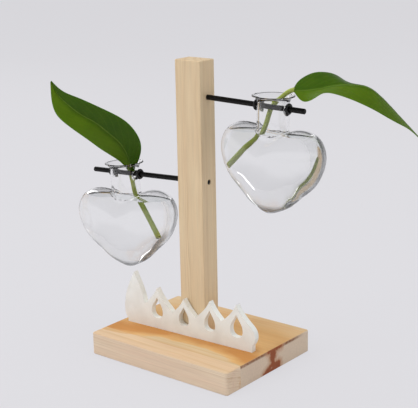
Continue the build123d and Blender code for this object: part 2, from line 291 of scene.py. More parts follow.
@dataclass(frozen=True)
class PlanedSpruce(Finish):
    """Spruce, planed and sanded, unfinished: pale and matt, with thin darker lines of late wood."""

    grain: Grain
    pith_mm: tuple[float, float, float]
    early: str = "#e4cca6"
    late: str = "#cdaa7e"
    tone: str = "#dcbf98"
    ring_mm: float = 3.4
    wobble_mm: float = 3.2
    crowd_mm: float = 11.0
    crowd_rings: float = 5.0
    fade_rate: float = 2.7
    drift: Figure = Figure(26.0, 6.0)
    patches: Figure = Figure(7.0, 9.0)
    tones: Figure = Figure(9.0, 10.0)
    # A real fibre is about 0.03 mm across, too fine to show, so fibres are drawn as coarse as they show.
    fibres: Figure = Figure(0.5, 40.0)
    streaks: Figure = Figure(1.6, 22.0)
    relief_mm: float = 0.12
    end_contrast: float = 2.2
    # Darkens the sawn ends: the end grain's own darker tone together with painted shade, which on the post
    # darkens its top.
    end_grain_and_painted_shade: float = 1.0
    roughness: float = 0.56

    def noise(self, tree: NodeTree, place: Node, figure: Figure) -> Node:
        """Gives a noise that follows the fibres.

        Args:
            tree: Node tree.
            place: Place in millimetres.
            figure: Its size.

        Returns:
            The noise.
        """
        size = figure.across_mm
        scale = [1 / size if across else 1 / (size * figure.times_longer) for across in self.grain.value]
        where = add_node(tree, "VectorMath", [place, scale], operation="MULTIPLY")
        return add_node(tree, "TexNoise", {"Vector": where, "Scale": 1.0, "Detail": 3.0})

    def at_ends(self, tree: NodeTree, factor: float) -> Node:
        """Gives a factor that is 1 on the sides of the piece and reaches its value on the sawn ends.

        Args:
            tree: Node tree.
            factor: Its value on the ends.

        Returns:
            The factor.
        """
        normal = add_node(tree, "TexCoord").outputs["Normal"]
        along = tuple(1 - across for across in self.grain.value)
        facing = add_node(tree, "VectorMath", [normal, along], operation="DOT_PRODUCT")
        facing = add_node(tree, "Math", [facing], operation="ABSOLUTE")
        return add_node(tree, "MapRange", [facing, 0.5, 1.0, 1.0, factor])

    def late_wood(self, tree: NodeTree, place: Node) -> Node:
        """Draws the growth rings round the pith: uneven in width, and some much fainter than others.

        Args:
            tree: Node tree.
            place: Place in millimetres.

        Returns:
            The share of late wood, from 0 to 1.
        """
        flat = add_node(tree, "VectorMath", [place, self.pith_mm], operation="SUBTRACT")
        across = add_node(tree, "VectorMath", [flat, self.grain.value], operation="MULTIPLY")
        radius = add_node(tree, "VectorMath", [across], operation="LENGTH")
        drift = self.noise(tree, place, self.drift)
        bent = add_node(tree, "Math", [drift, 4 * self.wobble_mm, radius], operation="MULTIPLY_ADD")
        far = add_node(tree, "Math", [bent, self.crowd_mm], operation="DIVIDE")
        crowd = add_node(tree, "TexNoise", {"W": far, "Scale": 1.0}, noise_dimensions="1D")
        turns = add_node(tree, "Math", [bent, self.ring_mm], operation="DIVIDE")
        turns = add_node(tree, "Math", [crowd, self.crowd_rings, turns], operation="MULTIPLY_ADD")
        ring = add_node(tree, "Math", [turns], operation="FRACT")
        line = add_node(tree, "ValToRGB", [ring], stops=[
            (0.0, "#000000"), (0.35, "#000000"), (0.84, "#ffffff"), (1.0, "#000000"),
        ])
        faint = {"W": far, "Scale": self.fade_rate, "Detail": 1.0}
        faint = add_node(tree, "TexNoise", faint, noise_dimensions="1D")
        strength = add_node(tree, "MapRange", [faint, 0.38, 0.62, 0.12, 0.9])
        patchy = add_node(tree, "MapRange", [self.noise(tree, place, self.patches), 0.3, 0.65, 0.35, 1.0])
        strength = add_node(tree, "Math", [strength, patchy], operation="MULTIPLY")
        late = add_node(tree, "Math", [line, strength], operation="MULTIPLY")
        deeper = self.at_ends(tree, self.end_contrast)
        return add_node(tree, "Math", [late, deeper], operation="MULTIPLY", use_clamp=True)

    def colour(self, tree: NodeTree, place: Node, late: Node) -> Node:
        """Colours the rings and lets the board's tone drift.

        Args:
            tree: Node tree.
            place: Place in millimetres.
            late: The share of late wood.

        Returns:
            The colour before the fibres.
        """
        rings = {0: late, 6: linear(self.early), 7: linear(self.late)}
        rings = add_node(tree, "Mix", rings, data_type="RGBA")
        share = add_node(tree, "MapRange", [self.noise(tree, place, self.tones), 0.35, 0.75, 0.0, 0.8])
        return add_node(tree, "Mix", {0: share, 6: rings, 7: linear(self.tone)}, data_type="RGBA")

    def sockets(self, tree: NodeTree) -> dict[str, object]:
        """Lays the fibres over the wood's colour, and lets them roughen it.

        Args:
            tree: Node tree.

        Returns:
            What the shader's sockets take.
        """
        where = add_node(tree, "TexCoord").outputs["Object"]
        place = add_node(tree, "VectorMath", [where, (1 / MM,) * 3], operation="MULTIPLY")
        plain = self.colour(tree, place, self.late_wood(tree, place))
        fibre = self.noise(tree, place, self.fibres)
        streak = self.noise(tree, place, self.streaks)
        shade = add_node(tree, "MapRange", [fibre, 0.25, 0.75, 0.95, 1.04])
        wide = add_node(tree, "MapRange", [streak, 0.25, 0.75, 0.94, 1.05])
        # The sawn ends are darkened, partly by the end grain's tone and partly as painted shade.
        for other in (wide, self.at_ends(tree, self.end_grain_and_painted_shade)):
            shade = add_node(tree, "Math", [shade, other], operation="MULTIPLY")
        return {
            "Base Color": add_node(tree, "VectorMath", {0: plain, "Scale": shade}, operation="SCALE"),
            "Roughness": add_node(
                tree, "MapRange", [fibre, 0.3, 0.7, self.roughness - 0.06, self.roughness + 0.08]
            ),
            "Normal": add_node(
                tree, "Bump", {"Height": fibre, "Strength": 0.2, "Distance": self.relief_mm * MM}
            ),
            "IOR": 1.5,
        }


@dataclass(frozen=True)
class HeartwoodSpruce(PlanedSpruce):
    """Spruce that reaches into the orange heartwood, whose front wanders over the glue line."""

    golden: str = "#dfb273"
    front_mm: float = -40.7
    ragged_mm: float = 26.0
    tongues: Figure = Figure(17.0, 2.4)
    wander_mm: float = 11.5
    half_wave_mm: float = 107.0
    wave_start_mm: float = 35.0
    top_mm: float = 19.6

    def heart_depth(self, tree: NodeTree, place: Node) -> Node:
        """Measures how far behind the heartwood's front a point lies.

        Args:
            tree: Node tree.
            place: Place in millimetres.

        Returns:
            The depth in millimetres.
        """
        axes = add_node(tree, "SeparateXYZ", [place]).outputs
        ragged = self.noise(tree, place, self.tongues)
        depth = add_node(tree, "Math", [ragged, self.ragged_mm, axes[1]], operation="MULTIPLY_ADD")
        rate = math.pi / self.half_wave_mm
        turn = add_node(tree, "Math", [axes[0], rate, rate * self.wave_start_mm], operation="MULTIPLY_ADD")
        wave = add_node(tree, "Math", [turn], operation="SINE")
        bent = add_node(tree, "Math", [wave, -self.wander_mm, depth], operation="MULTIPLY_ADD")
        return add_node(tree, "Math", [bent, self.front_mm + self.ragged_mm / 2], operation="SUBTRACT")


@dataclass(frozen=True)
class GoldenStave(HeartwoodSpruce):
    """The pale front stave: golden where the heartwood crosses it, and its top painted darker and golden as
    painted shade.
    """

    top_painted_shade_share: float = 0.4
    top_edge_mm: tuple[float, float] = (0.6, 0.2)
    turn_mm: float = 4.0

    def colour(self, tree: NodeTree, place: Node, late: Node) -> Node:
        """Colours the stave.

        Args:
            tree: Node tree.
            place: Place in millimetres.
            late: The share of late wood.

        Returns:
            The colour before the fibres.
        """
        heart = add_node(tree, "MapRange", [self.heart_depth(tree, place), 0.0, self.turn_mm, 0.0, 0.85])
        height = add_node(tree, "SeparateXYZ", [place]).outputs[2]
        # Painted shade: the top face is toned towards golden, darker than the front, for the light that falls
        # on it.
        start, full = (self.top_mm - below for below in self.top_edge_mm)
        top = add_node(tree, "MapRange", [height, start, full, 0.0, self.top_painted_shade_share])
        share = add_node(tree, "Math", [heart, top], operation="MAXIMUM")
        toned = {0: share, 6: super().colour(tree, place, late), 7: linear(self.golden)}
        return add_node(tree, "Mix", toned, data_type="RGBA")


@dataclass(frozen=True)
class HeartwoodBoard(HeartwoodSpruce):
    """A wider spruce board with orange heartwood, a saw-scorched edge and a resin streak in its end."""

    sap: str = "#d8bd94"
    heart: str = "#c98a44"
    tan: str = "#d0a368"
    end_grain: str = "#dcc8b1"
    resin: str = "#954609"
    halo: str = "#bf8c64"
    scorch: str = "#80480e"
    band_mm: float = 106.0
    grit_mm: float = 20 / 7
    end_mm: float = 75.0
    end_edge_mm: tuple[float, float] = (0.9, 0.2)
    scorch_edge_mm: tuple[float, float] = (2.8, 1.5)
    scorch_end_mm: tuple[float, float] = (34.0, 50.0)
    core_mm: tuple[float, float] = (-1.0, -2.6)
    halo_mm: tuple[float, float] = (3.0, -1.5)
    resin_runs_mm: tuple[tuple[float, float, float, float, float], ...] = (
        (-2.0, 19.2, 16.0, 19.2, 1.6), (4.4, 17.5, 4.2, 13.0, 3.9), (4.2, 13.0, 4.4, 7.0, 2.4),
        (3.4, 6.5, -7.5, 0.0, 2.0), (5.0, 5.0, 12.5, 4.0, 2.6), (-5.0, 0.5, 12.0, 1.0, 2.3),
    )

    def colour(self, tree: NodeTree, place: Node, late: Node) -> Node:
        """Colours the heartwood's bands, then lays the marks of the board's end over them.

        Args:
            tree: Node tree.
            place: Place in millimetres.
            late: The share of late wood.

        Returns:
            The colour before the fibres.
        """
        band = add_node(tree, "MapRange", [self.heart_depth(tree, place), 0.0, self.band_mm])
        bands = add_node(tree, "ValToRGB", [band], stops=[
            (0.0, self.sap), (0.03, self.golden), (0.13, self.heart), (0.24, self.heart), (0.36, self.golden),
            (0.6, self.tan), (1.0, self.sap),
        ])
        share = add_node(tree, "Math", [late, 0.5], operation="MULTIPLY")
        lined = add_node(tree, "Mix", {0: share, 6: bands, 7: linear(self.heart)}, data_type="RGBA")
        return self.marked(tree, place, lined)

    def resin_edge(self, tree: NodeTree, face: Node) -> Node:
        """Measures how far outside the resin streak a point of the end lies: the least over its runs.

        Args:
            tree: Node tree.
            face: Place on the end, in millimetres.

        Returns:
            The distance in millimetres, below 0 inside the streak.
        """
        nearest = None
        for y0, z0, y1, z1, half in self.resin_runs_mm:
            start, run = Vector((0, y0, z0)), Vector((0, y1 - y0, z1 - z0))
            out = add_node(tree, "VectorMath", [face, start], operation="SUBTRACT")
            along = add_node(tree, "VectorMath", [out, run / run.length_squared], operation="DOT_PRODUCT")
            held = add_node(tree, "Clamp", [along])
            foot = add_node(tree, "VectorMath", {0: run, "Scale": held}, operation="SCALE")
            far = add_node(tree, "VectorMath", [out, foot], operation="DISTANCE")
            far = add_node(tree, "Math", [far, half], operation="SUBTRACT")
            nearest = far if nearest is None else add_node(tree, "Math", [nearest, far], operation="MINIMUM")
        return nearest

    def marked(self, tree: NodeTree, place: Node, under: Node) -> Node:
        """Lays the pale end grain, the scorched edge and the resin streak over the board's colour.

        Args:
            tree: Node tree.
            place: Place in millimetres.
            under: The board's colour.

        Returns:
            The colour with the marks.
        """
        axes = add_node(tree, "SeparateXYZ", [place]).outputs
        at_end = add_node(tree, "MapRange", [axes[0], *(self.end_mm - inside for inside in self.end_edge_mm)])
        face = add_node(tree, "CombineXYZ", {1: axes[1], 2: axes[2]})
        grit = add_node(tree, "TexNoise", {"Vector": face, "Scale": 1 / self.grit_mm, "Detail": 4.0})
        edge = add_node(tree, "MapRange", [axes[2], *(self.top_mm - below for below in self.scorch_edge_mm)])
        near = add_node(tree, "MapRange", [axes[1], *self.scorch_end_mm, 1.0, 0.0])
        for other in (near, add_node(tree, "MapRange", [grit, 0.3, 0.6, 0.6, 1.0])):
            edge = add_node(tree, "Math", [edge, other], operation="MULTIPLY")
        rough = add_node(tree, "Math", [grit, -4.0, self.resin_edge(tree, face)], operation="MULTIPLY_ADD")
        core = add_node(tree, "MapRange", [rough, *self.core_mm])
        halo = add_node(tree, "MapRange", [rough, *self.halo_mm, 0.0, 0.85])
        layers = ((0.9, self.end_grain), (edge, self.scorch), (halo, self.halo), (core, self.resin))
        for share, colour in layers:
            weight = add_node(tree, "Math", [share, at_end], operation="MULTIPLY")
            under = add_node(tree, "Mix", {0: weight, 6: under, 7: linear(colour)}, data_type="RGBA")
        return under


@dataclass(frozen=True)
class ChalkPaint(Finish):
    """Chalk paint rolled on cut poplar: matt off-white, a little dull and porous, with a fine stipple."""

    name: str = "chalk_paint_on_poplar"
    coat: str = "#f4f4ee"
    thin: str = "#e8e6de"
    patch_mm: float = 50 / 3
    # A foam roller's stipple is under 1 mm across, and is drawn a little coarser so that it shows.
    roller_mm: float = 1.4
    relief_mm: float = 0.12

    def sockets(self, tree: NodeTree) -> dict[str, object]:
        """Thins the coat in soft patches, and stipples it.

        Args:
            tree: Node tree.

        Returns:
            What the shader's sockets take.
        """
        where = add_node(tree, "TexCoord").outputs["Object"]
        patch = {"Vector": where, "Scale": 1 / (self.patch_mm * MM), "Detail": 3.0}
        share = add_node(tree, "MapRange", [add_node(tree, "TexNoise", patch), 0.4, 0.75])
        stipple = {"Vector": where, "Scale": 1 / (self.roller_mm * MM), "Detail": 2.0}
        stipple = add_node(tree, "TexNoise", stipple)
        tones = {0: share, 6: linear(self.coat), 7: linear(self.thin)}
        relief = {"Height": stipple, "Strength": 0.2, "Distance": self.relief_mm * MM}
        return {
            "Base Color": add_node(tree, "Mix", tones, data_type="RGBA"),
            "Roughness": add_node(tree, "MapRange", [stipple, 0.0, 1.0, 0.62, 0.78]),
            "Normal": add_node(tree, "Bump", relief),
            "IOR": 1.5,
        }


@dataclass(frozen=True)
class DarkFinish(Finish):
    """Lacquered steel or moulded rubber: near-black, with a soft, slightly uneven gloss."""

    colour: str
    worn: str
    roughness: float
    patch_mm: float
    specular: float = 0.5
    relief_mm: float = 0.05

    def sockets(self, tree: NodeTree) -> dict[str, object]:
        """Lightens the finish in small patches, and lets its gloss follow them.

        Args:
            tree: Node tree.

        Returns:
            What the shader's sockets take.
        """
        where = add_node(tree, "TexCoord").outputs["Object"]
        patch = {"Vector": where, "Scale": 1 / (self.patch_mm * MM), "Detail": 3.0}
        patch = add_node(tree, "TexNoise", patch)
        share = add_node(tree, "MapRange", [patch, 0.45, 0.8])
        tones = {0: share, 6: linear(self.colour), 7: linear(self.worn)}
        relief = {"Height": patch, "Strength": 0.15, "Distance": self.relief_mm * MM}
        return {
            "Base Color": add_node(tree, "Mix", tones, data_type="RGBA"),
            "Roughness": add_node(
                tree, "MapRange", [patch, 0.0, 1.0, self.roughness - 0.05, self.roughness + 0.1]
            ),
            "Normal": add_node(tree, "Bump", relief),
            "Specular IOR Level": self.specular,
        }


@dataclass(frozen=True)
class ZincSteel(Finish):
    """Zinc-plated steel of the screw: bright, a little cloudy from the plating bath."""

    name: str = "zinc_plated_steel"
    colour: str = "#c3c6c8"
    roughness: float = 0.34
    cloud_mm: float = 5 / 3

    def sockets(self, tree: NodeTree) -> dict[str, object]:
        """Clouds the plating's gloss.

        Args:
            tree: Node tree.

        Returns:
            What the shader's sockets take.
        """
        where = add_node(tree, "TexCoord").outputs["Object"]
        cloud = {"Vector": where, "Scale": 1 / (self.cloud_mm * MM), "Detail": 2.0}
        dull = [add_node(tree, "TexNoise", cloud), 0.0, 1.0, self.roughness - 0.1, self.roughness + 0.1]
        return {
            "Base Color": linear(self.colour), "Metallic": 1.0, "Roughness": add_node(tree, "MapRange", dull),
        }


@dataclass(frozen=True)
class ClearMedium(Finish):
    """Glass or water: clear, smooth, and letting the lamps' light through to what stands inside."""

    ior: float
    tint: str
    murk: str
    murk_per_metre: float

    def shaders(self, tree: NodeTree) -> dict[str, Node]:
        """Bends light at the surface, lets shadow rays pass, and tints what goes far inside.

        Args:
            tree: Node tree.

        Returns:
            The shaders of the surface and of the inside.
        """
        tint = linear(self.tint)
        clear = {"Base Color": tint, "Roughness": 0.0, "IOR": self.ior, "Transmission Weight": 1.0}
        through = add_node(tree, "MixShader", [
            add_node(tree, "LightPath").outputs["Is Shadow Ray"],
            add_node(tree, "BsdfPrincipled", clear),
            add_node(tree, "BsdfTransparent", {"Color": tint}),
        ])
        murk = {"Color": linear(self.murk), "Density": self.murk_per_metre}
        return {"Surface": through, "Volume": add_node(tree, "VolumeAbsorption", murk)}


@dataclass(frozen=True)
class WaxyLeaf(Finish):
    """A waxy pothos leaf: deep green, paler at its veins and margin, light beneath, with painted sheen on its
    near half.
    """

    name: str = "waxy_leaf"
    deep: str = "#2b4c00"
    fresh_and_lit: str = "#587408"
    vein: str = "#6a8630"
    underside: str = "#7c9c50"
    veins: float = 11.0
    vein_sweep: float = 0.34
    mottle_mm: float = 100 / 7
    relief_mm: float = 0.2

    def vein_lines(self, tree: NodeTree, along: NodeSocket, out: Node) -> tuple[Node, Node]:
        """Draws the midrib, the margin and the swept side veins.

        Args:
            tree: Node tree.
            along: How far along the blade a point lies, as a share.
            out: How far out from the midrib it lies, as a share.

        Returns:
            The side veins by themselves, and all the lines together.
        """
        sweep = add_node(tree, "Math", [out, -self.vein_sweep, along], operation="MULTIPLY_ADD")
        count = add_node(tree, "Math", [sweep, self.veins], operation="MULTIPLY")
        wave = add_node(tree, "Math", [count, 0.5], operation="PINGPONG")
        side = add_node(tree, "MapRange", [wave, 0.0, 0.11, 0.1, 0.0], interpolation_type="SMOOTHSTEP")
        midrib = add_node(tree, "MapRange", [out, 0.0, 0.06, 0.6, 0.0], interpolation_type="SMOOTHSTEP")
        lines = side
        for other in (midrib, add_node(tree, "MapRange", [out, 0.965, 1.0, 0.0, 0.35])):
            lines = add_node(tree, "Math", [lines, other], operation="MAXIMUM")
        return side, lines

    def sockets(self, tree: NodeTree) -> dict[str, object]:
        """Colours the blade from the place that its mesh gives each point.

        Args:
            tree: Node tree.

        Returns:
            What the shader's sockets take.
        """
        place = add_node(tree, "Attribute", attribute_name="leaf_place").outputs["Vector"]
        along, across = add_node(tree, "SeparateXYZ", [place]).outputs[:2]
        under = add_node(tree, "Attribute", attribute_name="leaf_under").outputs["Fac"]
        side, lines = self.vein_lines(tree, along, add_node(tree, "Math", [across], operation="ABSOLUTE"))
        where = add_node(tree, "TexCoord").outputs["Object"]
        mottle = {"Vector": where, "Scale": 1 / (self.mottle_mm * MM), "Detail": 3.0}
        mottle = add_node(tree, "TexNoise", mottle)
        # Painted sheen: the near half of the blade is painted paler green, standing in for the light that it
        # catches; the mottle's paler green is the leaf's own.
        near = add_node(tree, "MapRange", [across, -0.1, 0.3, 0.0, 0.5], interpolation_type="SMOOTHSTEP")
        share = add_node(tree, "Math", [mottle, 0.4, near], operation="MULTIPLY_ADD")
        colour = linear(self.deep)
        for weight, over in ((share, self.fresh_and_lit), (lines, self.vein), (under, self.underside)):
            colour = add_node(tree, "Mix", {0: weight, 6: colour, 7: linear(over)}, data_type="RGBA")
        height = add_node(tree, "Math", [mottle, 0.3, side], operation="MULTIPLY_ADD")
        relief = {"Height": height, "Strength": 0.5, "Distance": self.relief_mm * MM}
        return {
            "Base Color": colour, "Roughness": add_node(tree, "MapRange", [mottle, 0.0, 1.0, 0.36, 0.5]),
            "Normal": add_node(tree, "Bump", relief, invert=True), "IOR": 1.42, "Specular IOR Level": 0.22,
            "Subsurface Weight": 0.15, "Subsurface Radius": (0.4, 1.0, 0.2), "Subsurface Scale": 1.0 * MM,
        }


@dataclass(frozen=True)
class GreenStem(Finish):
    """A fleshy stem: smooth yellow-green skin with faint ridges along it."""

    name: str = "green_stem"
    skin: str = "#93a244"
    ridge: str = "#b4bf62"
    # The mesh counts its places in streaks of 6 mm, so that one ridge is 1.2 mm long.
    ridges_per_streak: float = 5.0
    relief_mm: float = 0.1

    def sockets(self, tree: NodeTree) -> dict[str, object]:
        """Streaks the skin along the place that the stem's mesh gives each point.

        Args:
            tree: Node tree.

        Returns:
            What the shader's sockets take.
        """
        along = add_node(tree, "Attribute", attribute_name="stem_place").outputs["Vector"]
        streak = {"Vector": along, "Scale": self.ridges_per_streak, "Detail": 3.0}
        streak = add_node(tree, "TexNoise", streak)
        share = add_node(tree, "MapRange", [streak, 0.35, 0.7])
        tones = {0: share, 6: linear(self.skin), 7: linear(self.ridge)}
        relief = {"Height": streak, "Strength": 0.3, "Distance": self.relief_mm * MM}
        return {
            "Base Color": add_node(tree, "Mix", tones, data_type="RGBA"),
            "Roughness": add_node(tree, "MapRange", [streak, 0.0, 1.0, 0.38, 0.55]),
            "Normal": add_node(tree, "Bump", relief), "IOR": 1.4,
            "Subsurface Weight": 0.2, "Subsurface Radius": (0.8, 1.0, 0.3), "Subsurface Scale": 1.0 * MM,
        }


@dataclass
class Rod:
    """The line of one rod, read from the joint that a bottle swings on."""

    side: str
    middle: Vector = field(init=False)
    outward: Vector = field(init=False)
    upward: Vector = field(init=False)
    back: Vector = field(init=False)

    def __post_init__(self) -> None:
        """Reads the joint's place and axis."""
        joints = FRAME["record"]["behaviour"]["joints"]
        joint = next(j for j in joints if j["name"] == f"{self.side}_bottle_swing")
        self.middle = Vector(joint["pos_m"])
        self.outward = Vector(joint["axis"]).normalized()
        self.upward = (Vector((0, 0, 1)) - self.outward * self.outward.z).normalized()
        self.back = self.upward.cross(self.outward)

    def place(self, turn_deg: float, drop: float) -> Matrix:
        """Gives a bottle's own axes: X along the heart, Z up the neck.

        Args:
            turn_deg: Turn of the body about its neck.
            drop: How far the neck's holes hang below the rod's line.

        Returns:
            The matrix from the bottle's axes to the row frame.
        """
        axes = Matrix((self.outward, self.back, self.upward)).transposed().to_4x4()
        turn = Matrix.Rotation(math.radians(turn_deg), 4, "Z")
        return Matrix.Translation(self.middle - self.upward * drop) @ axes @ turn


@dataclass
class HeartBottle:
    """A blown glass bottle: a rounded heart under a short neck with a flared, fire-polished lip."""

    side: str
    turn_deg: float
    width: float = 97.0 * MM
    depth: float = 46.0 * MM
    wall: float = 1.8 * MM
    tip_wall: float = 3.2 * MM
    shoulder_drop: float = 14.4 * MM
    tip_drop: float = 85.7 * MM
    middle_share: float = 0.38
    neck_radius: float = 13.0 * MM
    root_radius: float = 2.5 * MM
    root_pull: float = 0.55
    lip_radius: float = 17.2 * MM
    lip_rise: float = 10.2 * MM
    lip_start: float = 4.0 * MM
    bead_radius: float = 0.7 * MM
    hole_radius: float = 3.1 * MM
    hang_drop: float = 0.78 * MM
    columns: int = 160
    body_rows: int = 96
    bend_weight: float = 18.0
    root_rows: int = 7
    lip_rows: int = 12
    bead_rows: int = 8
    outline_steps: int = 600
    profile_steps: int = 1600
    drill_sides: int = 48
    drill_overrun: float = 1.2
    outline_shares: tuple[tuple[float, float], ...] = (
        (0.0, 0.10), (0.27, 0.045), (0.62, 0.0), (0.88, 0.08), (1.0, 0.26), (0.95, 0.455),
        (0.80, 0.63), (0.58, 0.765), (0.34, 0.905), (0.14, 0.973), (0.0, 1.0),
    )

    def reach(self, inset: float, lift: float) -> tuple[np.ndarray, np.ndarray, float]:
        """Works out how far the heart's outline lies from its middle in every direction.

        Args:
            inset: How far inside the outer surface the sides and the top lie.
            lift: How far above the outer tip this surface's tip lies.

        Returns:
            Rising directions, the outline's distance at each, and the middle's height.
        """
        top, bottom = -self.shoulder_drop - inset, -self.tip_drop + lift
        middle = top - self.middle_share * (top - bottom)
        out, down = np.array(self.outline_shares).T
        points = np.stack([out * (self.width / 2 - inset), top - down * (top - bottom) - middle], axis=1)
        knots = chord_knots(points)
        ends = (np.array([1.0, 0.0]), np.array([-1.0, 0.0]))
        line = spline(knots, points, np.linspace(0, knots[-1], self.outline_steps), ends)[::-1]
        return np.arctan2(line[:, 1], line[:, 0]), np.hypot(line[:, 0], line[:, 1]), middle

    def profile(
        self, turn: float, outline: tuple[np.ndarray, np.ndarray, float], inset: float
    ) -> np.ndarray:
        """Gives one surface's profile in one direction round the neck: neck, fillet and body.

        Args:
            turn: The direction, in radians from the heart's width.
            outline: What reach gives for the surface.
            inset: How far inside the outer surface it lies.

        Returns:
            Distances from the neck's axis and heights, from the start of the lip's flare down to the tip.
        """
        way, reach, middle = outline
        neck, root = self.neck_radius - inset, self.root_radius + inset
        tilt = np.linspace(0.0, math.pi, self.profile_steps)
        x, y, z = np.sin(tilt) * math.cos(turn), np.sin(tilt) * math.sin(turn), np.cos(tilt)
        level = np.interp(np.arctan2(z, np.abs(x)), way, reach)
        far = 1 / np.sqrt((x * x + z * z) / level**2 + (y / (self.depth / 2 - inset)) ** 2)
        line = np.stack([far * np.sin(tilt), middle + far * z], axis=1)
        outer, inner = (int(np.argmax(line[:, 0] > limit)) for limit in (neck + root, neck))
        body = line[outer:]
        bends = np.linalg.norm(np.diff(body, n=2, axis=0), axis=1)
        body = even_rows(body, self.body_rows, np.concatenate([bends, bends[-1:]]) * self.bend_weight)
        head = np.array([neck, line[inner, 1] + root])
        slope = body[1] - body[0]
        slope = slope / np.linalg.norm(slope)
        pull = np.linalg.norm(body[0] - head) * self.root_pull
        share = np.linspace(0, 1, self.root_rows + 1)[:-1, None]
        fillet = (
            head * (1 - share) ** 3 + 3 * (head - [0, pull]) * share * (1 - share) ** 2
            + 3 * (body[0] - slope * pull) * share**2 * (1 - share) + body[0] * share**3
        )
        straight = np.array([[neck, self.lip_start], [neck, self.lip_start / 2 + head[1] / 2]])
        body[-1, 0] = 0.0
        return np.vstack([straight, fillet, body])

    def surface(self, inset: float, lift: float) -> np.ndarray:
        """Gives one surface of the glass from the start of the lip's flare down to the tip.

        Args:
            inset: How far inside the outer surface it lies.
            lift: How far above the outer tip its tip lies.

        Returns:
            Rows by columns of points in the bottle's axes, the last row all at the tip.
        """
        outline = self.reach(inset, lift)
        grid = []
        for turn in circle(self.columns):
            far, height = self.profile(turn, outline, inset).T
            grid.append(np.stack([far * math.cos(turn), far * math.sin(turn), height], axis=1))
        return np.transpose(np.array(grid), (1, 0, 2))

    def flare(self, inset: float) -> list[tuple[float, float]]:
        """Gives the lip's flare from its start up to the bead.

        Args:
            inset: How far inside the outer surface it lies.

        Returns:
            Distances from the neck's axis and heights.
        """
        straight = self.neck_radius - inset
        run = self.lip_radius - self.neck_radius
        rise = self.lip_rise - self.bead_radius - self.lip_start
        bend = (run * run + rise * rise) / (2 * run)
        sweep = math.asin(min(1.0, rise / bend))
        turns = [sweep * (row + 1) / self.lip_rows for row in range(self.lip_rows)]
        return [(straight + bend * (1 - math.cos(t)), self.lip_start + bend * math.sin(t)) for t in turns]

    def lip(self) -> list[tuple[float, float]]:
        """Gives the lip's whole profile, up the outside, over the bead and down the inside.

        Returns:
            Distances from the neck's axis and heights.
        """
        outside, inside = self.flare(0.0), self.flare(self.wall)
        start, end = Vector(outside[-1]), Vector(inside[-1])
        middle, radius = (start + end) / 2, (start - end).length / 2
        first = math.atan2(start.y - middle.y, start.x - middle.x)
        bead = []
        for step in range(1, self.bead_rows):
            angle = first + math.pi * step / self.bead_rows
            bead.append((middle.x + radius * math.cos(angle), middle.y + radius * math.sin(angle)))
        return outside + bead + inside[::-1]

    def shell(self) -> tuple[np.ndarray, Faces]:
        """Joins the outer surface, the lip and the inner surface into one closed shell.

        Returns:
            Its points in the bottle's axes, and its faces.
        """
        outer = self.surface(0.0, 0.0)
        inner = self.surface(self.wall, self.tip_wall)
        turns = circle(self.columns)
        lip = [
            np.stack([far * np.cos(turns), far * np.sin(turns), np.full(self.columns, height)], axis=1)
            for far, height in self.lip()
        ]
        rows = [*outer[:-1][::-1], *lip, *inner[:-1]]
        points = np.vstack([*rows, outer[-1][:1], inner[-1][:1]])
        faces = tube_faces(len(rows), self.columns)
        last = (len(rows) - 1) * self.columns
        low, high = len(points) - 2, len(points) - 1
        for column in range(self.columns):
            after = (column + 1) % self.columns
            faces.append((low, after, column))
            faces.append((high, last + column, last + after))
        return points, faces

    def drill(self) -> tuple[np.ndarray, Faces]:
        """Gives the cylinder that cuts both holes, along the rod.

        Returns:
            Its points in the bottle's axes, and its faces.
        """
        sides, turns = self.drill_sides, circle(self.drill_sides)
        ring = np.stack([np.zeros(sides), np.cos(turns), np.sin(turns)], axis=1) * self.hole_radius
        end = self.drill_overrun * self.lip_radius
        points = np.vstack([ring + [reach, 0, 0] for reach in (-end, end)])
        faces = tube_faces(2, sides)
        faces += [tuple(range(sides)), tuple(range(2 * sides - 1, sides - 1, -1))]
        return points, faces

    def build(self, rod: Rod, glass: Material) -> Object:
        """Makes the bottle's mesh and drills its neck for the rod.

        Args:
            rod: The rod that it hangs on.
            glass: Its material.

        Returns:
            The finished piece.
        """
        obj = mesh_object(f"{self.side}_glass_bottle", *self.shell())
        obj.data.transform(rod.place(self.turn_deg, self.hang_drop))
        drill = mesh_object(f"{self.side}_drill", *self.drill())
        drill.data.transform(rod.place(0.0, self.hang_drop))
        cut = obj.modifiers.new("drill", "BOOLEAN")
        cut.operation, cut.solver, cut.object = "DIFFERENCE", "EXACT", drill
        finished = bpy.data.meshes.new_from_object(obj.evaluated_get(bpy.context.evaluated_depsgraph_get()))
        obj.modifiers.clear()
        obj.data = finished
        bpy.data.objects.remove(drill)
        obj.data.materials.clear()
        obj.data.materials.append(glass)
        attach(obj, f"{self.side}_vessel")
        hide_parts(f"{self.side}_bottle")
        return obj


